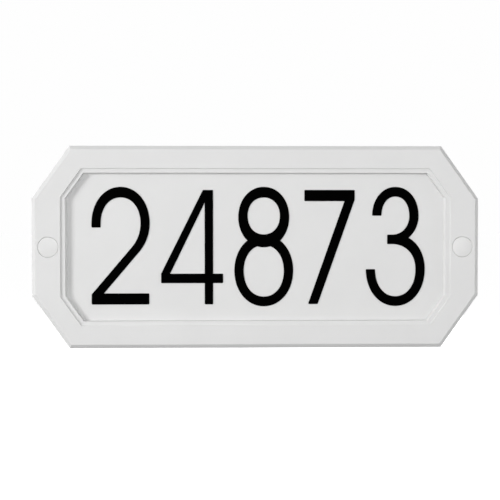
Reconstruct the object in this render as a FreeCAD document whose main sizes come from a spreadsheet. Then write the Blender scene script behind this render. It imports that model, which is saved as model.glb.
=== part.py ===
import FreeCAD, Part
import math
import os
import Sketcher
from FreeCAD import Vector

# House number plaque, in millimetres. X runs along the width, Z is up, and the front faces -Y.
# The wall is the plane y = 0, and the origin is midway between the two screw holes on it.

os.makedirs("parts", exist_ok=True)
doc = FreeCAD.newDocument("house_number_plaque")
sheet = doc.addObject("Spreadsheet::Sheet", "sizes")
sheet.Label = "sizes"

# The driving dimensions, in millimetres where they are lengths. Each is written to its own named cell.
sizes = {
    # Plate outline and depth
    "plate_width": 381.0,
    "plate_height": 172.2,
    "plate_depth": 11.0,
    "corner_cut_x": 32.0,
    "corner_cut_z": 44.8,
    "wall": 2.5,
    "rim_bevel": 3.2,
    # Border, step, ledge and sunken panel, each measured inwards from the outline. The panel's walls lean
    # outwards, and a fine groove runs round the panel at their foot.
    "border_ends": 24.4,
    "border_sides": 19.4,
    "border_corners": 19.4,
    "step_drop": 1.4,
    "ledge_ends": 3.9,
    "ledge_sides": 3.6,
    "panel_drop": 4.4,
    "panel_lean_ends": 1.2,
    "panel_lean_sides": 0.3,
    "panel_lean_corners": 0.6,
    "groove_width": 0.4,
    "groove_depth": 0.3,
    # The small radius that the mould leaves along edges
    "edge_radius": 0.35,
    # Ribs behind the plate
    "rib_thickness": 1.5,
    "rib_setback": 0.5,
    "rib_columns": 9,
    "rib_rows": 3,
    # Screw bosses, their seats and the covers, whose rims lie a little below the plate's face
    "screw_inset": 14.0,
    "screw_hole": 5.0,
    "boss_wall": 2.0,
    "seat_diameter": 17.4,
    "seat_depth": 6.0,
    "cap_clearance": 0.15,
    "cap_wall": 1.2,
    "cap_sink": 0.45,
    "cap_rise": 0.3,
    "cap_dome_radius": 65.0,
    "cap_grips": 3,
    "cap_grip_width": 1.0,
    "cap_grip_gap": 0.05,
    "cap_grip_setback": 1.0,
    # Numerals: shared measures. The left and gap shares are of the width that the numerals leave free on the
    # panel, and a fullness is the share of a quarter bowl's run that its tangents reach.
    "numeral_above": 14.05,
    "numeral_below": 13.75,
    "numeral_left_share": 0.2769,
    "numeral_gap_share": 0.1281,
    "numeral_sheet": 0.4,
    "numeral_corner": 0.8,
    "overshoot_top": 2.65,
    "overshoot_foot": 1.85,
    "bowl_fullness": 0.57,
    "counter_fullness": 0.59,
    "crossing_overlap": 0.3,
    # Numeral 2. In each numeral, a share is a place up the numeral, as part of its height.
    "two_width": 49.0,
    "two_bowl": 49.5,
    "two_base": 9.5,
    "two_side": 7.8,
    "two_crown": 9.1,
    "two_bowl_share": 0.7077,
    "two_hook": 3.5,
    "two_turn_outer": 37.3,
    "two_turn_inner": 31.2,
    "two_heel": 8.67,
    # Numeral 4
    "four_width": 53.0,
    "four_stem_place": 37.25,
    "four_stem": 7.2,
    "four_bar_share": 0.1856,
    "four_bar": 8.1,
    "four_top": 8.7,
    "four_heel": 7.75,
    "four_notch": 10.9,
    # Numeral 8
    "eight_lower_width": 50.35,
    "eight_upper_width": 43.6,
    "eight_side": 8.0,
    "eight_crown": 9.15,
    "eight_crossing": 9.25,
    "eight_crossing_share": 0.5169,
    "eight_foot": 8.4,
    "eight_upper_reach": 1.85,
    # Numeral 7
    "seven_width": 43.2,
    "seven_bar": 9.6,
    "seven_elbow": 8.3,
    "seven_foot_place": 3.15,
    "seven_foot": 8.25,
    "seven_crotch": 8.8,
    # Numeral 3
    "three_width": 50.85,
    "three_upper_left": 5.4,
    "three_upper_width": 40.0,
    "three_upper_share": 0.7744,
    "three_lower_share": 0.3056,
    "three_side": 8.0,
    "three_crown": 8.35,
    "three_crossing_share": 0.5251,
    "three_crossing": 8.2,
    "three_foot": 8.45,
    "three_tongue": 18.35,
    "three_tongue_reach": 4.2,
    "three_upper_reach": 3.6,
    "three_lower_reach": 8.4,
}
for row, (name, value) in enumerate(sizes.items(), 1):
    sheet.set(f"A{row}", name)
    sheet.set(f"B{row}", str(value))
    sheet.setAlias(f"B{row}", name)
doc.recompute()

# How closely two places have to agree to count as one, in millimetres
same_place = 0.0001

# The smallest bend between two sides of a numeral that counts as a corner, in radians
corner_bend = math.radians(15)


def mm(expression):
    """The value of an expression of the sheet's cells."""
    return float(sheet.evalExpression(expression))


# Shared ways of drawing


def new_body(label):
    body = doc.addObject("PartDesign::Body", label)
    body.Label = label
    return body


def origin_part(body, role):
    return [part for part in body.Origin.OriginFeatures if part.Role == role][0]


def front_sketch(body, label, depth):
    """A sketch seen from the front, `depth` before the wall, whose X and Y are the plaque's X and Z."""
    sketch = body.newObject("Sketcher::SketchObject", label)
    sketch.AttachmentSupport = [(origin_part(body, "XZ_Plane"), "")]
    sketch.MapMode = "FlatFace"
    sketch.setExpression(".AttachmentOffset.Base.z", depth)
    return sketch


def side_sketch(body, label):
    """A sketch for what is turned: its X is the distance from the axis, and its Y points into the wall."""
    sketch = body.newObject("Sketcher::SketchObject", label)
    sketch.AttachmentSupport = [(origin_part(body, "XY_Plane"), "")]
    sketch.MapMode = "FlatFace"
    return sketch


def straight_outline(sketch, points):
    """A closed run of straight lines through the points."""
    for start, end in zip(points, points[1:] + points[:1]):
        sketch.addGeometry(Part.LineSegment(start, end), False)
    for side in range(len(points)):
        sketch.addConstraint(Sketcher.Constraint("Coincident", side, 2, (side + 1) % len(points), 1))


def dimension(sketch, kind, places, value, label):
    """A named dimension, bound to an expression of the sheet."""
    index = sketch.addConstraint(Sketcher.Constraint(kind, *places, mm(value)))
    sketch.renameConstraint(index, label)
    sketch.setExpression(f"Constraints.{label}", value)


def pad(body, sketch, label, length):
    """A pad that starts at the sketch and goes towards the front."""
    feature = body.newObject("PartDesign::Pad", label)
    feature.Profile = sketch
    feature.setExpression("Length", length)
    doc.recompute()
    return feature


def pocket(body, sketch, label, depth, towards_wall):
    """A pocket that starts at the sketch and goes towards the wall, or away from it towards the front."""
    before = body.Tip.Shape.Volume
    feature = body.newObject("PartDesign::Pocket", label)
    feature.Profile = sketch
    feature.Reversed = not towards_wall
    feature.setExpression("Length", depth)
    doc.recompute()
    if feature.Shape.Volume >= before:
        raise RuntimeError(f"{label} cut nothing")
    return feature


def octagon(body, label, depth, ends, sides, corners):
    """The plaque's outline, drawn `ends`, `sides` and `corners` inside the plate's own at those edges."""
    width = f"sizes.plate_width - 2 * ({ends})"
    height = f"sizes.plate_height - 2 * ({sides})"
    slant = "sqrt(sizes.corner_cut_x ^ 2 + sizes.corner_cut_z ^ 2)"
    cut_x = (
        f"sizes.corner_cut_x - ({ends}) - ({sides}) * sizes.corner_cut_x / sizes.corner_cut_z"
        f" + ({corners}) * {slant} / sizes.corner_cut_z"
    )
    cut_z = f"({cut_x}) * sizes.corner_cut_z / sizes.corner_cut_x"
    half_x = mm(width) / 2
    half_z = mm(height) / 2
    flat_x = half_x - mm(cut_x)
    flat_z = half_z - mm(cut_z)
    corner_points = [
        Vector(-flat_x, half_z, 0),
        Vector(flat_x, half_z, 0),
        Vector(half_x, flat_z, 0),
        Vector(half_x, -flat_z, 0),
        Vector(flat_x, -half_z, 0),
        Vector(-flat_x, -half_z, 0),
        Vector(-half_x, -flat_z, 0),
        Vector(-half_x, flat_z, 0),
    ]
    sketch = front_sketch(body, label, depth)
    straight_outline(sketch, corner_points)
    # the top and bottom edges mirror across the middle, and so do the two ends
    sketch.addConstraint(Sketcher.Constraint("Symmetric", 0, 1, 0, 2, -2))
    sketch.addConstraint(Sketcher.Constraint("Symmetric", 4, 1, 4, 2, -2))
    sketch.addConstraint(Sketcher.Constraint("Symmetric", 2, 1, 2, 2, -1))
    sketch.addConstraint(Sketcher.Constraint("Symmetric", 6, 1, 6, 2, -1))
    sketch.addConstraint(Sketcher.Constraint("Symmetric", 0, 1, 4, 2, -1))
    sketch.addConstraint(Sketcher.Constraint("Symmetric", 2, 1, 6, 2, -2))
    dimension(sketch, "DistanceX", (6, 1, 2, 1), width, "width")
    dimension(sketch, "DistanceY", (4, 1, 0, 2), height, "height")
    dimension(sketch, "DistanceX", (1, 1, 1, 2), cut_x, "cut_x")
    dimension(sketch, "DistanceY", (1, 2, 1, 1), cut_z, "cut_z")
    doc.recompute()
    return sketch


def rectangle(body, label, depth, middle_x, middle_z, width, height):
    """A rectangle placed by its middle."""
    left = mm(middle_x) - mm(width) / 2
    right = mm(middle_x) + mm(width) / 2
    low = mm(middle_z) - mm(height) / 2
    high = mm(middle_z) + mm(height) / 2
    sketch = front_sketch(body, label, depth)
    points = [Vector(left, low, 0), Vector(right, low, 0), Vector(right, high, 0), Vector(left, high, 0)]
    straight_outline(sketch, points)
    for side in (0, 2):
        sketch.addConstraint(Sketcher.Constraint("Horizontal", side))
    for side in (1, 3):
        sketch.addConstraint(Sketcher.Constraint("Vertical", side))
    dimension(sketch, "DistanceX", (0, 1, 0, 2), width, "width")
    dimension(sketch, "DistanceY", (1, 1, 1, 2), height, "height")
    dimension(sketch, "DistanceX", (-1, 1, 0, 1), f"{middle_x} - ({width}) / 2", "left")
    dimension(sketch, "DistanceY", (-1, 1, 0, 1), f"{middle_z} - ({height}) / 2", "low")
    doc.recompute()
    return sketch


screw_place = "sizes.plate_width / 2 - sizes.screw_inset"


def screw_circles(body, label, depth, diameter):
    """One circle on each screw line."""
    sketch = front_sketch(body, label, depth)
    for side, name in ((-1, "left"), (1, "right")):
        middle = Vector(side * mm(screw_place), 0, 0)
        circle = sketch.addGeometry(Part.Circle(middle, Vector(0, 0, 1), mm(diameter) / 2), False)
        sketch.addConstraint(Sketcher.Constraint("PointOnObject", circle, 3, -1))
        dimension(sketch, "Diameter", (circle,), diameter, f"{name}_diameter")
        places = (circle, 3, -1, 1) if side < 0 else (-1, 1, circle, 3)
        dimension(sketch, "DistanceX", places, screw_place, f"{name}_place")
    doc.recompute()
    return sketch


def inset(point):
    """How far inside the plate's outline a point lies, seen from the front."""
    x = abs(point.x)
    z = abs(point.z)
    cut_x = mm("sizes.corner_cut_x")
    cut_z = mm("sizes.corner_cut_z")
    from_end = mm("sizes.plate_width") / 2 - x
    from_side = mm("sizes.plate_height") / 2 - z
    from_corner = (from_end * cut_z + from_side * cut_x - cut_x * cut_z) / math.hypot(cut_x, cut_z)
    return min(from_end, from_side, from_corner)


def ring_edges(shape, depth, low, high):
    """The straight edges flat at `depth` whose middle lies between `low` and `high` inside the outline."""
    names = []
    for number, edge in enumerate(shape.Edges, 1):
        if edge.Curve.TypeId != "Part::GeomLine":
            continue
        start, end = [vertex.Point for vertex in edge.Vertexes]
        flat = max(abs(start.y + depth), abs(end.y + depth)) < same_place
        if flat and low < inset((start + end) / 2) < high:
            names.append(f"Edge{number}")
    return names


def mouth_edges(shape, depth):
    """The edges of the openings in the flat faces at `depth` before the wall."""
    inner = []
    for face in shape.Faces:
        if max(abs(face.BoundBox.YMin + depth), abs(face.BoundBox.YMax + depth)) < same_place:
            for wire in face.Wires:
                if not wire.isSame(face.OuterWire):
                    inner += wire.Edges
    return [
        f"Edge{number}"
        for number, edge in enumerate(shape.Edges, 1)
        if any(edge.isSame(other) for other in inner)
    ]


def ease(body, kind, label, edges, value):
    """A fillet or chamfer on the named edges of the body's last feature."""
    if not edges:
        raise RuntimeError(f"{label} found no edges")
    base = body.Tip
    feature = body.newObject(f"PartDesign::{kind}", label)
    feature.Base = (base, edges)
    feature.setExpression("Size" if kind == "Chamfer" else "Radius", value)
    doc.recompute()
    return feature


# Plaque: one moulded plate, hollow behind, with a sunken panel in front

plaque = new_body("plaque")
pad(plaque, octagon(plaque, "outline", "0", "0", "0", "0"), "block", "sizes.plate_depth")

# the hollow behind, whose floor is one wall behind the front, with its far corner sloped like the bevel
hollow_depth = "sizes.plate_depth - sizes.wall"
hollow_outline = octagon(plaque, "hollow_outline", "0", "sizes.wall", "sizes.wall", "sizes.wall")
pocket(plaque, hollow_outline, "hollow", hollow_depth, False)
hollow_rim = ring_edges(plaque.Tip.Shape, mm(hollow_depth), 0, 2 * mm("sizes.wall"))
slope_inside = "sizes.rim_bevel - sizes.wall * (2 - sqrt(2))"
ease(plaque, "Chamfer", "hollow_slope", hollow_rim, slope_inside)

# the block that the sunken panel is cut into, one wall wider than the panel's opening
panel_back = "sizes.plate_depth - sizes.step_drop - sizes.panel_drop - sizes.wall"
ledge_end = "sizes.border_ends + sizes.ledge_ends"
ledge_side = "sizes.border_sides + sizes.ledge_sides"
ledge_corner = "sizes.border_corners + sizes.ledge_sides"
panel_block = octagon(
    plaque,
    "panel_block_outline",
    panel_back,
    f"{ledge_end} - sizes.wall",
    f"{ledge_side} - sizes.wall",
    f"{ledge_corner} - sizes.wall",
)
pad(plaque, panel_block, "panel_block", f"{hollow_depth} - ({panel_back}) + sizes.wall / 2")

# ribs behind the plate, in columns and rows, between the cut corners
rib_length = f"{hollow_depth} - sizes.rib_setback + sizes.wall / 2"
column_pitch = "(sizes.plate_width - 2 * sizes.corner_cut_x) / sizes.rib_columns"
row_pitch = "(sizes.plate_height - 2 * sizes.corner_cut_z) / sizes.rib_rows"
first_column = rectangle(
    plaque,
    "rib_column_outline",
    "sizes.rib_setback",
    f"-(sizes.rib_columns - 1) / 2 * {column_pitch}",
    "0",
    "sizes.rib_thickness",
    "sizes.plate_height - sizes.wall",
)
column = pad(plaque, first_column, "rib_column", rib_length)
columns = plaque.newObject("PartDesign::LinearPattern", "rib_columns")
columns.Originals = [column]
columns.Direction = (first_column, ["H_Axis"])
columns.Mode = "Spacing"
columns.setExpression("Offset", column_pitch)
columns.setExpression("Occurrences", "sizes.rib_columns")
plaque.Tip = columns
doc.recompute()
first_row = rectangle(
    plaque,
    "rib_row_outline",
    "sizes.rib_setback",
    "0",
    f"-(sizes.rib_rows - 1) / 2 * {row_pitch}",
    "sizes.plate_width - sizes.wall",
    "sizes.rib_thickness",
)
row = pad(plaque, first_row, "rib_row", rib_length)
rows = plaque.newObject("PartDesign::LinearPattern", "rib_rows")
rows.Originals = [row]
rows.Direction = (first_row, ["V_Axis"])
rows.Mode = "Spacing"
rows.setExpression("Offset", row_pitch)
rows.setExpression("Occurrences", "sizes.rib_rows")
plaque.Tip = rows
doc.recompute()

# a boss behind each screw, from the wall to the plate
boss_circles = screw_circles(plaque, "boss_circles", "0", "sizes.seat_diameter + 2 * sizes.boss_wall")
pad(plaque, boss_circles, "bosses", f"{hollow_depth} + sizes.wall / 2")

# the step in the border, then the sunken panel as deep as its groove, whose walls lean outwards
step_outline = octagon(
    plaque,
    "step_outline",
    "sizes.plate_depth",
    "sizes.border_ends",
    "sizes.border_sides",
    "sizes.border_corners",
)
pocket(plaque, step_outline, "step", "sizes.step_drop", True)
panel_mouth = octagon(
    plaque, "panel_mouth", "sizes.plate_depth - sizes.step_drop", ledge_end, ledge_side, ledge_corner
)
foot_end = f"{ledge_end} + sizes.panel_lean_ends"
foot_side = f"{ledge_side} + sizes.panel_lean_sides"
foot_corner = f"{ledge_corner} + sizes.panel_lean_corners"
panel_front = "sizes.plate_depth - sizes.step_drop - sizes.panel_drop"
groove_back = f"{panel_front} - sizes.groove_depth"
groove_floor = octagon(plaque, "groove_floor", groove_back, foot_end, foot_side, foot_corner)
before_panel = plaque.Tip.Shape.Volume
panel = plaque.newObject("PartDesign::SubtractiveLoft", "panel")
panel.Profile = panel_mouth
panel.Sections = [(groove_floor, [""])]
panel.Ruled = True
doc.recompute()
if panel.Shape.Volume >= before_panel:
    raise RuntimeError("the panel cut nothing")

# the panel's field, back up to its front inside the groove
field_outline = octagon(
    plaque,
    "field_outline",
    groove_back,
    f"{foot_end} + sizes.groove_width",
    f"{foot_side} + sizes.groove_width",
    f"{foot_corner} + sizes.groove_width",
)
pad(plaque, field_outline, "panel_field", "sizes.groove_depth")

# the bevel round the front, then the covers' seats and the screw holes
near_rim = mm("sizes.edge_radius")
front_rim = ring_edges(plaque.Tip.Shape, mm("sizes.plate_depth"), -near_rim, near_rim)
ease(plaque, "Chamfer", "bevel", front_rim, "sizes.rim_bevel")
seat_circles = screw_circles(plaque, "seat_circles", "sizes.plate_depth", "sizes.seat_diameter")
pocket(plaque, seat_circles, "seats", "sizes.seat_depth", True)
hole_circles = screw_circles(plaque, "hole_circles", "sizes.plate_depth", "sizes.screw_hole")
pocket(plaque, hole_circles, "screw_holes", "sizes.plate_depth", True)

# the mould's small radii: along the bevel, the step and the ledge, and a bevel as small round each seat
bevel_foot = mm("sizes.plate_depth - sizes.rim_bevel")
bevel_edges = ring_edges(plaque.Tip.Shape, bevel_foot, -near_rim, near_rim)
face_edges = ring_edges(plaque.Tip.Shape, mm("sizes.plate_depth"), 0, mm("sizes.plate_height"))
ledge_edges = mouth_edges(plaque.Tip.Shape, mm("sizes.plate_depth - sizes.step_drop"))
ease(plaque, "Fillet", "soft_edges", bevel_edges + face_edges + ledge_edges, "sizes.edge_radius")


def seat_bevel(label, side):
    """The bevel round the mouth of one seat, turned about its screw line."""
    seat = "sizes.seat_diameter / 2"
    mouth = f"{seat} + sizes.edge_radius"
    face = "sizes.plate_depth"
    foot = f"{face} - sizes.edge_radius"
    profile = side_sketch(plaque, f"{label}_profile")
    profile.setExpression(".AttachmentOffset.Base.x", f"{side} * ({screw_place})")
    points = [
        Vector(0, -mm(foot), 0),
        Vector(mm(seat), -mm(foot), 0),
        Vector(mm(mouth), -mm(face), 0),
        Vector(0, -mm(face), 0),
    ]
    straight_outline(profile, points)
    for run in (0, 2):
        profile.addConstraint(Sketcher.Constraint("Horizontal", run))
    for run in (0, 3):
        profile.addConstraint(Sketcher.Constraint("PointOnObject", run, 1, -2))
    dimension(profile, "DistanceX", (-1, 1, 1, 1), seat, "seat")
    dimension(profile, "DistanceX", (-1, 1, 2, 1), mouth, "mouth")
    dimension(profile, "DistanceY", (0, 1, -1, 1), foot, "foot")
    dimension(profile, "DistanceY", (3, 1, -1, 1), face, "face")
    doc.recompute()
    before = plaque.Tip.Shape.Volume
    turned = plaque.newObject("PartDesign::Groove", label)
    turned.Profile = profile
    turned.ReferenceAxis = (profile, ["V_Axis"])
    turned.Angle = 360
    doc.recompute()
    if turned.Shape.Volume >= before:
        raise RuntimeError(f"{label} cut nothing")


seat_bevel("left_seat_bevel", -1)
seat_bevel("right_seat_bevel", 1)

# Covers: a low dome on a skirt with grip ribs, which stands on the floor of its seat over the screw head


def make_cap(label, side):
    """One cover, modelled about its own axis and then set on its screw line."""
    cap = new_body(label)
    radius = "(sizes.seat_diameter / 2 - sizes.cap_clearance)"
    inner = f"{radius} - sizes.cap_wall"
    foot = "sizes.plate_depth - sizes.seat_depth"
    brim = "sizes.plate_depth - sizes.cap_sink"
    crown = "sizes.plate_depth + sizes.cap_rise"
    ceiling = f"{brim} - sizes.cap_wall"
    shoulder = f"{radius} - sizes.cap_rise - sizes.cap_sink"

    # the skirt and the top, turned, with a sloped shoulder that the dome cuts into
    profile = side_sketch(cap, f"{label}_profile")
    points = [
        Vector(0, -mm(crown), 0),
        Vector(mm(shoulder), -mm(crown), 0),
        Vector(mm(radius), -mm(brim), 0),
        Vector(mm(radius), -mm(foot), 0),
        Vector(mm(inner), -mm(foot), 0),
        Vector(mm(inner), -mm(ceiling), 0),
        Vector(0, -mm(ceiling), 0),
    ]
    straight_outline(profile, points)
    for run in (0, 3, 5):
        profile.addConstraint(Sketcher.Constraint("Horizontal", run))
    for run in (2, 4, 6):
        profile.addConstraint(Sketcher.Constraint("Vertical", run))
    profile.addConstraint(Sketcher.Constraint("PointOnObject", 6, 1, -2))
    dimension(profile, "DistanceX", (-1, 1, 0, 2), shoulder, "shoulder")
    dimension(profile, "DistanceX", (-1, 1, 2, 1), radius, "radius")
    dimension(profile, "DistanceX", (-1, 1, 4, 1), inner, "inner")
    dimension(profile, "DistanceY", (0, 1, -1, 1), crown, "crown")
    dimension(profile, "DistanceY", (2, 1, -1, 1), brim, "brim")
    dimension(profile, "DistanceY", (2, 2, -1, 1), foot, "foot")
    dimension(profile, "DistanceY", (5, 1, -1, 1), ceiling, "ceiling")
    doc.recompute()
    turned = cap.newObject("PartDesign::Revolution", f"{label}_turned")
    turned.Profile = profile
    turned.ReferenceAxis = (profile, ["V_Axis"])
    turned.Angle = 360
    doc.recompute()

    # the ribs round the skirt that grip the seat
    grip_in = f"{radius} - sizes.cap_wall / 2"
    grip_out = f"{radius} + sizes.cap_clearance - sizes.cap_grip_gap"
    grip_sketch = rectangle(
        cap,
        f"{label}_grip_outline",
        foot,
        f"({grip_in} + {grip_out}) / 2",
        "0",
        f"{grip_out} - ({grip_in})",
        "sizes.cap_grip_width",
    )
    grip = pad(cap, grip_sketch, f"{label}_grip", "sizes.seat_depth - sizes.cap_grip_setback")
    grips = cap.newObject("PartDesign::PolarPattern", f"{label}_grips")
    grips.Originals = [grip]
    grips.Axis = (grip_sketch, ["N_Axis"])
    grips.Angle = 360
    grips.setExpression("Occurrences", "sizes.cap_grips")
    cap.Tip = grips
    doc.recompute()

    # the dome: what lies outside a large ball is cut away, by an arc swung about a level line
    dome_radius = "sizes.cap_dome_radius"
    reach = "sizes.seat_diameter / 2"
    beyond = f"{crown} + sizes.cap_wall"
    arc_sketch = side_sketch(cap, f"{label}_dome_arc")
    middle = Vector(0, mm(dome_radius) - mm(crown), 0)
    half_angle = math.asin(mm(reach) / mm(dome_radius))
    ball = Part.Circle(middle, Vector(0, 0, 1), mm(dome_radius))
    arc = Part.ArcOfCircle(ball, -math.pi / 2 - half_angle, -math.pi / 2 + half_angle)
    low = arc.EndPoint.y
    arc_sketch.addGeometry(arc, False)
    outside = [
        arc.EndPoint,
        Vector(mm(reach), -mm(beyond), 0),
        Vector(-mm(reach), -mm(beyond), 0),
        Vector(-mm(reach), low, 0),
    ]
    for begin, end in zip(outside, outside[1:]):
        arc_sketch.addGeometry(Part.LineSegment(begin, end), False)
    arc_sketch.addGeometry(Part.LineSegment(middle, middle + Vector(mm(reach), 0, 0)), True)
    for run in range(3):
        arc_sketch.addConstraint(Sketcher.Constraint("Coincident", run, 2, run + 1, 1))
    arc_sketch.addConstraint(Sketcher.Constraint("Coincident", 3, 2, 0, 1))
    arc_sketch.addConstraint(Sketcher.Constraint("Coincident", 4, 1, 0, 3))
    arc_sketch.addConstraint(Sketcher.Constraint("PointOnObject", 0, 3, -2))
    arc_sketch.addConstraint(Sketcher.Constraint("Vertical", 1))
    arc_sketch.addConstraint(Sketcher.Constraint("Vertical", 3))
    arc_sketch.addConstraint(Sketcher.Constraint("Horizontal", 2))
    arc_sketch.addConstraint(Sketcher.Constraint("Horizontal", 4))
    dimension(arc_sketch, "Radius", (0,), dome_radius, "dome_radius")
    dimension(arc_sketch, "DistanceY", (-1, 1, 0, 3), f"{dome_radius} - ({crown})", "dome_middle")
    dimension(arc_sketch, "DistanceX", (-1, 1, 1, 2), reach, "right")
    dimension(arc_sketch, "DistanceX", (2, 2, -1, 1), reach, "left")
    dimension(arc_sketch, "DistanceY", (1, 2, -1, 1), beyond, "beyond")
    dimension(arc_sketch, "DistanceX", (4, 1, 4, 2), reach, "axis_length")
    doc.recompute()
    before = cap.Tip.Shape.Volume
    dome = cap.newObject("PartDesign::Groove", f"{label}_dome")
    dome.Profile = arc_sketch
    dome.ReferenceAxis = (arc_sketch, ["Axis0"])
    dome.Midplane = True
    dome.Refine = False
    dome.setExpression("Angle", "2 * asin(sizes.seat_diameter / sizes.cap_dome_radius)")
    doc.recompute()
    if dome.Shape.Volume >= before:
        raise RuntimeError(f"{label}_dome cut nothing")
    cap.setExpression(".Placement.Base.x", f"{side} * ({screw_place})")
    return cap


cap_left = make_cap("cap_left", -1)
cap_right = make_cap("cap_right", 1)

# Numerals: thin, flat and stuck to the panel. Each is drawn from its own left edge and foot line.


def line(*points):
    """Straight runs through the points, each a pair of x and z."""
    return [Part.LineSegment(Vector(*a, 0), Vector(*b, 0)) for a, b in zip(points, points[1:])]


def bowl(start, end, leaves, fullness):
    """A quarter of a bowl, which leaves `start` upright or level and meets `end` the other way."""
    run = end[0] - start[0]
    climb = end[1] - start[1]
    if leaves == "upright":
        first = (start[0], start[1] + fullness * climb)
        second = (end[0] - fullness * run, end[1])
    else:
        first = (start[0] + fullness * run, start[1])
        second = (end[0], end[1] - fullness * climb)
    curve = Part.BezierCurve()
    curve.setPoles([Vector(*place, 0) for place in (start, first, second, end)])
    return [curve.toBSpline()]


def turn(start, radius, lean):
    """An arc that leaves `start` downwards and swings to the left by the angle `lean`, and its far end."""
    middle = Vector(start[0] - radius, start[1], 0)
    circle = Part.Circle(middle, Vector(0, 0, 1), radius)
    end = (middle.x + radius * math.cos(lean), middle.y - radius * math.sin(lean))
    return [Part.ArcOfCircle(circle, -lean, 0)], end


def loop(left, right, low, high, fullness):
    """A closed round counter or bowl between its four outermost lines."""
    middle_x = (left + right) / 2
    middle_z = (low + high) / 2
    return (
        bowl((left, middle_z), (middle_x, high), "upright", fullness)
        + bowl((middle_x, high), (right, middle_z), "level", fullness)
        + bowl((right, middle_z), (middle_x, low), "upright", fullness)
        + bowl((middle_x, low), (left, middle_z), "level", fullness)
    )


def draw(numeral, label, curves):
    """Pad one closed outline of the numeral by the thickness of its sheet."""
    sketch = numeral.newObject("Sketcher::SketchObject", label)
    sketch.AttachmentSupport = [(origin_part(numeral, "XZ_Plane"), "")]
    sketch.MapMode = "FlatFace"
    sketch.addGeometry(curves, False)
    doc.recompute()
    return pad(numeral, sketch, f"{label}_sheet", "sizes.numeral_sheet")


def sharp_corners(shape):
    """The outward corners of a flat numeral, as edges through its thickness."""
    names = []
    for number, edge in enumerate(shape.Edges, 1):
        if edge.Curve.TypeId != "Part::GeomLine":
            continue
        start, end = [vertex.Point for vertex in edge.Vertexes]
        if abs(start.y - end.y) < mm("sizes.numeral_sheet") / 2:
            continue
        middle = (start + end) / 2
        first, second = [
            face.normalAt(*face.Surface.parameter(middle))
            for face in shape.ancestorsOfType(edge, Part.Face)
        ]
        beside = middle + (first - second) * (mm("sizes.numeral_corner") / 20)
        if first.getAngle(second) > corner_bend and not shape.isInside(beside, same_place, True):
            names.append(f"Edge{number}")
    return names


def finish(numeral, left):
    """Round the numeral's corners and set it on the panel."""
    corners = sharp_corners(numeral.Tip.Shape)
    if corners:
        ease(numeral, "Fillet", f"{numeral.Label}_corners", corners, "sizes.numeral_corner")
    numeral.setExpression(".Placement.Base.x", left)
    numeral.setExpression(".Placement.Base.y", f"-({panel_front})")
    numeral.setExpression(".Placement.Base.z", numeral_foot)
    doc.recompute()


# the numerals stand in a row on the panel, with what width they leave free shared out between them
panel_width = f"(sizes.plate_width - 2 * ({foot_end}))"
panel_height = f"(sizes.plate_height - 2 * ({foot_side}))"
numeral_foot = f"sizes.numeral_below - {panel_height} / 2"
numeral_height = f"{panel_height} - sizes.numeral_below - sizes.numeral_above"
drawn_widths = ["two_bowl", "four_width", "eight_lower_width", "seven_width", "three_width"]
free_width = f"({panel_width} - " + " - ".join(f"sizes.{width}" for width in drawn_widths) + ")"
places = [f"sizes.numeral_left_share * {free_width} - {panel_width} / 2"]
for width in drawn_widths[:-1]:
    places.append(f"{places[-1]} + sizes.{width} + sizes.numeral_gap_share * {free_width}")
two_place, four_place, eight_place, seven_place, three_place = places
full = mm("sizes.bowl_fullness")
counter = mm("sizes.counter_fullness")
height = mm(numeral_height)
round_top = height + mm("sizes.overshoot_top")
round_foot = -mm("sizes.overshoot_foot")


def numeral_two():
    """A hook, a bowl that swings into a diagonal drawn from the heel, and a base."""
    numeral = new_body("numeral_2")
    width = mm("sizes.two_width")
    right = mm("sizes.two_bowl")
    side = mm("sizes.two_side")
    base = mm("sizes.two_base")
    waist = mm("sizes.two_bowl_share") * height
    hook = waist - mm("sizes.two_hook")
    crown = round_top - mm("sizes.two_crown")
    heel = (0, mm("sizes.two_heel"))
    inner_radius = mm("sizes.two_turn_inner")
    turn_middle = (right - side - inner_radius, waist)
    across = math.dist(heel, turn_middle)
    lean = math.atan2(turn_middle[0], waist - heel[1]) + math.asin(inner_radius / across)
    outer_turn, outer_end = turn((right, waist), mm("sizes.two_turn_outer"), lean)
    inner_turn, inner_end = turn((right - side, waist), inner_radius, lean)
    crotch = (outer_end[0] - (outer_end[1] - base) * math.tan(lean), base)
    middle = right / 2
    curves = line(inner_end, heel, (0, 0), (width, 0), (width, base), crotch, outer_end)
    curves += outer_turn
    curves += bowl((right, waist), (middle, round_top), "upright", full)
    curves += bowl((middle, round_top), (0, waist), "level", full)
    curves += line((0, waist), (0, hook), (side, hook), (side, waist))
    curves += bowl((side, waist), (middle, crown), "upright", counter)
    curves += bowl((middle, crown), (right - side, waist), "level", counter)
    curves += inner_turn
    draw(numeral, "numeral_2_outline", curves)
    finish(numeral, two_place)
    return numeral


def numeral_four():
    """An open triangle, a bar and a stem."""
    numeral = new_body("numeral_4")
    width = mm("sizes.four_width")
    stem_left = mm("sizes.four_stem_place")
    stem_right = stem_left + mm("sizes.four_stem")
    bar_low = mm("sizes.four_bar_share") * height
    bar_high = bar_low + mm("sizes.four_bar")
    peak = (stem_right - mm("sizes.four_top"), height)
    heel = (mm("sizes.four_heel"), bar_high)
    notch = (stem_left, height - mm("sizes.four_notch"))
    outside = line(
        (0, bar_low),
        (stem_left, bar_low),
        (stem_left, 0),
        (stem_right, 0),
        (stem_right, bar_low),
        (width, bar_low),
        (width, bar_high),
        (stem_right, bar_high),
        (stem_right, height),
        peak,
        (0, bar_high),
        (0, bar_low),
    )
    inside = line(heel, (stem_left, bar_high), notch, heel)
    draw(numeral, "numeral_4_outline", outside + inside)
    finish(numeral, four_place)
    return numeral


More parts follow.
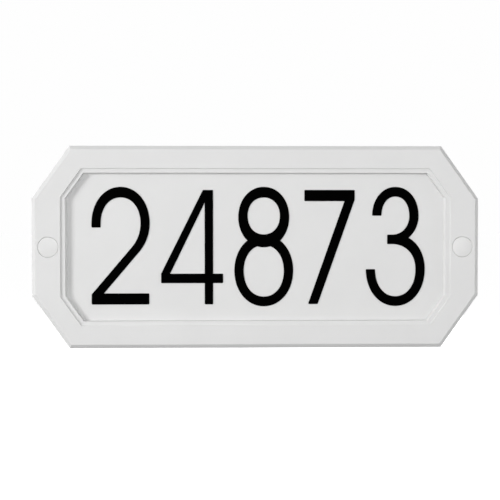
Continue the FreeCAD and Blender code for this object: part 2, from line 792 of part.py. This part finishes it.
def numeral_eight():
    """Two rings that share the stroke where they cross."""
    numeral = new_body("numeral_8")
    lower = mm("sizes.eight_lower_width")
    upper_left = (lower - mm("sizes.eight_upper_width")) / 2
    upper_right = lower - upper_left
    side = mm("sizes.eight_side")
    crossing_low = mm("sizes.eight_crossing_share") * height
    crossing_high = crossing_low + mm("sizes.eight_crossing")
    reach = mm("sizes.eight_upper_reach")
    crown = round_top - mm("sizes.eight_crown")
    foot = round_foot + mm("sizes.eight_foot")
    upper = loop(upper_left, upper_right, crossing_low - reach, round_top, full)
    upper += loop(upper_left + side, upper_right - side, crossing_high, crown, counter)
    lower_ring = loop(0, lower, round_foot, crossing_high - mm("sizes.crossing_overlap"), full)
    lower_ring += loop(side, lower - side, foot, crossing_low, counter)
    draw(numeral, "upper_ring", upper)
    draw(numeral, "lower_ring", lower_ring)
    finish(numeral, eight_place)
    return numeral


def numeral_seven():
    """A bar and a diagonal."""
    numeral = new_body("numeral_7")
    width = mm("sizes.seven_width")
    bar_low = height - mm("sizes.seven_bar")
    foot_left = mm("sizes.seven_foot_place")
    foot_right = foot_left + mm("sizes.seven_foot")
    outline = line(
        (foot_left, 0),
        (foot_right, 0),
        (width, height - mm("sizes.seven_elbow")),
        (width, height),
        (0, height),
        (0, bar_low),
        (width - mm("sizes.seven_crotch"), bar_low),
        (foot_left, 0),
    )
    draw(numeral, "numeral_7_outline", outline)
    finish(numeral, seven_place)
    return numeral


def numeral_three():
    """Two open bowls that meet in a short tongue."""
    numeral = new_body("numeral_3")
    side = mm("sizes.three_side")
    width = mm("sizes.three_width")
    upper_left = mm("sizes.three_upper_left")
    upper_right = upper_left + mm("sizes.three_upper_width")
    upper_middle = mm("sizes.three_upper_share") * height
    lower_middle = mm("sizes.three_lower_share") * height
    crown = round_top - mm("sizes.three_crown")
    foot = round_foot + mm("sizes.three_foot")
    tongue = mm("sizes.three_tongue")
    tongue_low = mm("sizes.three_crossing_share") * height
    tongue_high = tongue_low + mm("sizes.three_crossing")
    overlap = mm("sizes.crossing_overlap")
    inner_start = tongue + mm("sizes.three_tongue_reach")
    upper_start = tongue + mm("sizes.three_upper_reach")
    lower_start = tongue + mm("sizes.three_lower_reach")
    top_x = (upper_left + upper_right) / 2
    foot_x = width / 2
    upper = bowl((upper_left, upper_middle), (top_x, round_top), "upright", full)
    upper += bowl((top_x, round_top), (upper_right, upper_middle), "level", full)
    upper += bowl((upper_right, upper_middle), (upper_start, tongue_low + overlap), "upright", full)
    upper += line((upper_start, tongue_low + overlap), (tongue, tongue_low + overlap), (tongue, tongue_high))
    upper += line((tongue, tongue_high), (inner_start, tongue_high))
    upper += bowl((inner_start, tongue_high), (upper_right - side, upper_middle), "level", counter)
    upper += bowl((upper_right - side, upper_middle), (top_x, crown), "upright", counter)
    upper += bowl((top_x, crown), (upper_left + side, upper_middle), "level", counter)
    upper += line((upper_left + side, upper_middle), (upper_left, upper_middle))
    lower = bowl((0, lower_middle), (foot_x, round_foot), "upright", full)
    lower += bowl((foot_x, round_foot), (width, lower_middle), "level", full)
    lower += bowl((width, lower_middle), (lower_start, tongue_high - overlap), "upright", full)
    lower += line((lower_start, tongue_high - overlap), (tongue, tongue_high - overlap), (tongue, tongue_low))
    lower += line((tongue, tongue_low), (inner_start, tongue_low))
    lower += bowl((inner_start, tongue_low), (width - side, lower_middle), "level", counter)
    lower += bowl((width - side, lower_middle), (foot_x, foot), "upright", counter)
    lower += bowl((foot_x, foot), (side, lower_middle), "level", counter)
    lower += line((side, lower_middle), (0, lower_middle))
    draw(numeral, "upper_bowl", upper)
    draw(numeral, "lower_bowl", lower)
    finish(numeral, three_place)
    return numeral


two = numeral_two()
four = numeral_four()
eight = numeral_eight()
seven = numeral_seven()
three = numeral_three()

# Check everything, then write one file for each piece

doc.recompute()
for item in doc.Objects:
    if "Invalid" in item.State or "Error" in item.State:
        raise RuntimeError(f"{item.Label} failed: {item.State}")
pieces = [plaque, cap_left, cap_right, two, four, eight, seven, three]
for piece in pieces:
    shape = piece.Shape
    if shape.isNull() or not shape.isValid() or len(shape.Solids) != 1:
        raise RuntimeError(f"{piece.Label} is not one sound solid")
    print(f"{piece.Label}: {shape.Volume / 1000:.2f} cm3")
for piece in pieces:
    piece.Shape.exportStep(f"parts/{piece.Label}.step")
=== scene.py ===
import math

import bpy
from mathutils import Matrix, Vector

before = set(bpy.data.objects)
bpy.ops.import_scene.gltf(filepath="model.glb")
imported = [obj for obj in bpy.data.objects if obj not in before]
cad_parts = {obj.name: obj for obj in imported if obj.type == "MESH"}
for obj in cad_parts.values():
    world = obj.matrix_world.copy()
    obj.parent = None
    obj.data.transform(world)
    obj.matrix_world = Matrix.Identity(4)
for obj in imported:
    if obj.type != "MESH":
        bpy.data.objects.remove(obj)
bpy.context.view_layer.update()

bpy.ops.object.select_all(action="DESELECT")

# Plate
# One wide plate with cut corners, injection moulded in white plastic, with a sunken panel in front and an
# open, ribbed back. Its face is lightly spark-grained by the mould, and the plastic is even and satin.

plate_colour = (0.76, 0.76, 0.757, 1.0)
plate_shades = (0.975, 1.01)
plate_cloud_scale = 22.0
plate_grain_scale = 2600.0
plate_grain_depth = 0.00002
plate_roughness = (0.38, 0.5)
plate_specular = 0.5
plastic_ior = 1.46
cloud_detail = 4.0
cloud_roughness = 0.55
cloud_range = (0.3, 0.7)
grain_detail = 2.0
grain_roughness = 0.6
grain_strength = 0.5


def node_at(material, kind, **settings):
    """A new node of the material, with its inputs set by name."""
    node = material.node_tree.nodes.new(kind)
    for name, value in settings.items():
        if name in node.inputs:
            node.inputs[name].default_value = value
        else:
            setattr(node, name, value)
    return node


def moulded_plastic(name, colour, shades, cloud_scale, grain_scale, grain_depth, roughness, specular):
    """Satin plastic: faint clouds in its colour and gloss, and the mould's fine grain as bump."""
    material = bpy.data.materials.new(name)
    material.use_nodes = True
    links = material.node_tree.links
    shader = material.node_tree.nodes["Principled BSDF"]
    shader.inputs["IOR"].default_value = plastic_ior
    shader.inputs["Specular IOR Level"].default_value = specular
    place = node_at(material, "ShaderNodeTexCoord")
    clouds = node_at(
        material, "ShaderNodeTexNoise", Scale=cloud_scale, Detail=cloud_detail, Roughness=cloud_roughness
    )
    links.new(place.outputs["Object"], clouds.inputs["Vector"])
    shade = node_at(material, "ShaderNodeMapRange", **{"To Min": shades[0], "To Max": shades[1]})
    shade.inputs["From Min"].default_value = cloud_range[0]
    shade.inputs["From Max"].default_value = cloud_range[1]
    links.new(clouds.outputs["Fac"], shade.inputs["Value"])
    tint = node_at(material, "ShaderNodeMix", data_type="RGBA", blend_type="MULTIPLY")
    tint.inputs["Factor"].default_value = 1.0
    tint.inputs["A"].default_value = colour
    links.new(shade.outputs["Result"], tint.inputs["B"])
    links.new(tint.outputs["Result"], shader.inputs["Base Color"])
    gloss = node_at(material, "ShaderNodeMapRange", **{"To Min": roughness[0], "To Max": roughness[1]})
    links.new(clouds.outputs["Fac"], gloss.inputs["Value"])
    links.new(gloss.outputs["Result"], shader.inputs["Roughness"])
    grain = node_at(
        material, "ShaderNodeTexNoise", Scale=grain_scale, Detail=grain_detail, Roughness=grain_roughness
    )
    links.new(place.outputs["Object"], grain.inputs["Vector"])
    bump = node_at(material, "ShaderNodeBump", Strength=grain_strength, Distance=grain_depth)
    links.new(grain.outputs["Fac"], bump.inputs["Height"])
    links.new(bump.outputs["Normal"], shader.inputs["Normal"])
    return material


def give_finish(names, material):
    """Put one material on the named pieces, in place of their own."""
    for name in names:
        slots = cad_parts[name].data.materials
        slots.clear()
        slots.append(material)


white_plastic = moulded_plastic(
    "satin_white_plate_plastic",
    plate_colour,
    plate_shades,
    plate_cloud_scale,
    plate_grain_scale,
    plate_grain_depth,
    plate_roughness,
    plate_specular,
)
give_finish(["plaque"], white_plastic)

# Screw covers
# Two small domed buttons, moulded in the same white plastic as the plate but in a polished mould, so they
# are a little glossier. They push into the plate's two seats and hide the heads of the wall screws.

cover_colour = (0.725, 0.725, 0.72, 1.0)
cover_shades = (0.985, 1.01)
cover_cloud_scale = 60.0
cover_grain_scale = 2600.0
cover_grain_depth = 0.00001
cover_roughness = (0.34, 0.42)
cover_specular = 1.0
cover_plastic = moulded_plastic(
    "satin_white_cover_plastic",
    cover_colour,
    cover_shades,
    cover_cloud_scale,
    cover_grain_scale,
    cover_grain_depth,
    cover_roughness,
    cover_specular,
)
give_finish(["cap_left", "cap_right"], cover_plastic)

# Numerals
# Five numerals cut from thin black self-adhesive sheet and pressed on to the panel one by one. The sheet has
# a satin face with a very fine leathery grain.

sheet_colour = (0.0005, 0.0005, 0.0005, 1.0)
sheet_shades = (0.8, 1.2)
sheet_cloud_scale = 35.0
sheet_grain_scale = 1800.0
sheet_grain_depth = 0.00001
sheet_roughness = (0.42, 0.55)
sheet_specular = 0.003
black_sheet = moulded_plastic(
    "satin_black_sheet",
    sheet_colour,
    sheet_shades,
    sheet_cloud_scale,
    sheet_grain_scale,
    sheet_grain_depth,
    sheet_roughness,
    sheet_specular,
)
give_finish(["numeral_2", "numeral_4", "numeral_8", "numeral_7", "numeral_3"], black_sheet)

# Floor
# A plain pale floor below the plaque. It shows as white as the room round it, apart from the plaque's shadow,
# because most of what the camera sees of it is its own glow, which lights nothing.

floor_drop = 0.3
floor_size = 60.0
floor_colour = (0.4, 0.4, 0.4, 1.0)
floor_glow = 0.89
bpy.ops.mesh.primitive_plane_add(size=floor_size, location=(0, 0, -floor_drop))
floor = bpy.context.object
floor.name = "pale_floor"
floor_paint = bpy.data.materials.new("pale_floor_paint")
floor_paint.use_nodes = True
floor_nodes = floor_paint.node_tree.nodes
floor_links = floor_paint.node_tree.links
floor_shader = floor_nodes["Principled BSDF"]
floor_shader.inputs["Base Color"].default_value = floor_colour
floor_shader.inputs["Roughness"].default_value = 1.0
floor_shader.inputs["Specular IOR Level"].default_value = 0.0


def rays_that_show(tree):
    """One where a ray comes from the camera or from a glossy or clear surface, and nought elsewhere."""
    path = tree.nodes.new("ShaderNodeLightPath")
    seen = path.outputs["Is Camera Ray"]
    for kind in ("Is Glossy Ray", "Is Transmission Ray"):
        either = tree.nodes.new("ShaderNodeMath")
        either.operation = "MAXIMUM"
        tree.links.new(seen, either.inputs[0])
        tree.links.new(path.outputs[kind], either.inputs[1])
        seen = either.outputs[0]
    return seen


glow = floor_nodes.new("ShaderNodeEmission")
glow.inputs["Strength"].default_value = floor_glow
no_glow = floor_nodes.new("ShaderNodeEmission")
no_glow.inputs["Strength"].default_value = 0.0
glow_seen = floor_nodes.new("ShaderNodeMixShader")
floor_links.new(rays_that_show(floor_paint.node_tree), glow_seen.inputs[0])
floor_links.new(no_glow.outputs[0], glow_seen.inputs[1])
floor_links.new(glow.outputs[0], glow_seen.inputs[2])
floor_sum = floor_nodes.new("ShaderNodeAddShader")
floor_links.new(floor_shader.outputs[0], floor_sum.inputs[0])
floor_links.new(glow_seen.outputs[0], floor_sum.inputs[1])
floor_links.new(floor_sum.outputs[0], floor_nodes["Material Output"].inputs["Surface"])
floor.data.materials.append(floor_paint)

# Light
# A soft key light on the left, whose light grazes the plaque's face from a little above, a broad one in
# front, a third low on the right, a faint one overhead, one behind, and the pale room all round.

room_colour = (1.0, 1.0, 1.0, 1.0)
room_strength = 0.25
backdrop_colour = (0.991, 0.991, 0.991, 1.0)
backdrop_strength = 1.0
world = bpy.data.worlds.new("pale_room")
bpy.context.scene.world = world
world.use_nodes = True
sky = world.node_tree
room = sky.nodes["Background"]
room.inputs["Color"].default_value = room_colour
room.inputs["Strength"].default_value = room_strength
backdrop = sky.nodes.new("ShaderNodeBackground")
backdrop.inputs["Color"].default_value = backdrop_colour
backdrop.inputs["Strength"].default_value = backdrop_strength
room_or_backdrop = sky.nodes.new("ShaderNodeMixShader")
sky.links.new(rays_that_show(sky), room_or_backdrop.inputs[0])
sky.links.new(room.outputs[0], room_or_backdrop.inputs[1])
sky.links.new(backdrop.outputs[0], room_or_backdrop.inputs[2])
sky.links.new(room_or_backdrop.outputs[0], sky.nodes["World Output"].inputs["Surface"])

lamp_distance = 3.0


def soft_light(name, direction, width, power):
    """A square lamp that looks at the plaque from the given direction."""
    data = bpy.data.lights.new(name, "AREA")
    data.shape = "SQUARE"
    data.size = width
    data.energy = power
    lamp = bpy.data.objects.new(name, data)
    lamp.location = Vector(direction).normalized() * lamp_distance
    lamp.rotation_euler = lamp.location.to_track_quat("Z", "Y").to_euler()
    bpy.context.scene.collection.objects.link(lamp)


soft_light("key_light", direction=(-0.829, -0.559, 0.2), width=0.975, power=58.0)
soft_light("front_light", direction=(0.1, -1.0, 0.0), width=2.0, power=35.0)
soft_light("right_light", direction=(0.92, -0.42, -0.25), width=1.6, power=84.0)
soft_light("top_light", direction=(0.0, -0.3, 1.0), width=1.6, power=2.9)
soft_light("back_light", direction=(0.35, 0.95, 0.15), width=2.0, power=60.0)

# Camera
# The photograph's viewpoint, a metre in front of the wall and almost square to the plaque, a little to the
# left of its middle and above it.

photo_width = 500
focal_pixels = 1163.04
sensor_width = 36.0
camera_place = (-0.033246, -1.0, 0.020457)
camera_pitch = -1.328
camera_roll = 0.0323
camera_yaw = -1.6224
camera_data = bpy.data.cameras.new("camera")
camera_data.sensor_width = sensor_width
camera_data.lens = sensor_width * focal_pixels / photo_width
camera = bpy.data.objects.new("camera", camera_data)
camera.location = camera_place
camera.rotation_euler = (
    math.radians(90 + camera_pitch),
    math.radians(camera_roll),
    math.radians(camera_yaw),
)
bpy.context.scene.collection.objects.link(camera)
bpy.context.scene.camera = camera
bpy.context.scene.view_settings.view_transform = "Standard"
